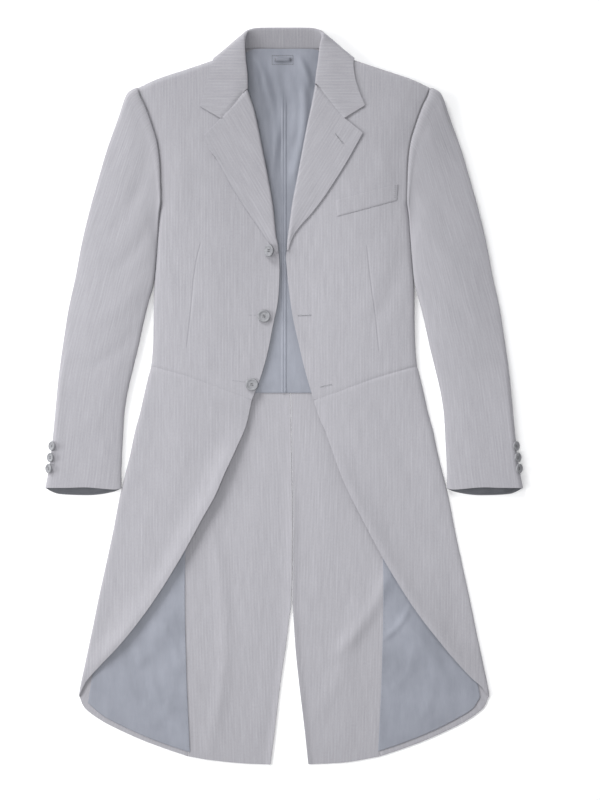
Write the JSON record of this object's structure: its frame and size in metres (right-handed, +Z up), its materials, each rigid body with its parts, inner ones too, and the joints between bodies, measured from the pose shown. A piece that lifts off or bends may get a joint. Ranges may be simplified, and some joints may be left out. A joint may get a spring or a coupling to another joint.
{
  "type": "morning coat",
  "caption": "Pale grey cutaway tail coat laid flat on its back, with notch lapels, a buttoned front edge, long sleeves, a welt pocket and a spread back vent.",
  "frame": {"origin": "middle of the laid coat's outline, on the surface it lies on", "axes": "+Z up from the surface, +Y along the coat towards the collar, +X towards the wearer's left sleeve"},
  "size_m": [0.7412, 1.1432, 0.0244],
  "materials": {
    "cloth": "pale grey fine wool with light pinstripes",
    "lining": "smooth blue-grey lining with a soft sheen",
    "horn": "satin grey horn"
  },
  "bodies": {
    "root": {"back_left": "cloth", "back_right": "cloth", "breast_welt": "cloth", "button_cuff_left_1": "horn", "button_cuff_left_2": "horn", "button_cuff_left_3": "horn", "button_cuff_right_1": "horn", "button_cuff_right_2": "horn", "button_cuff_right_3": "horn", "button_front_1": "horn", "button_front_2": "horn", "button_front_3": "horn", "collar": "cloth", "forepart_left": "cloth", "forepart_right": "cloth", "hanger_loop": "lining", "lapel_left": "cloth", "lapel_right": "cloth", "lining_back": "lining", "lining_skirt_left": "lining", "lining_skirt_right": "lining", "side_body_left": "cloth", "side_body_right": "cloth", "skirt_left": "cloth", "skirt_right": "cloth", "sleeve_lining_left": "lining", "sleeve_lining_right": "lining", "top_sleeve_left": "cloth", "top_sleeve_right": "cloth", "under_sleeve_left": "cloth", "under_sleeve_right": "cloth"}
  },
  "joints": []
}
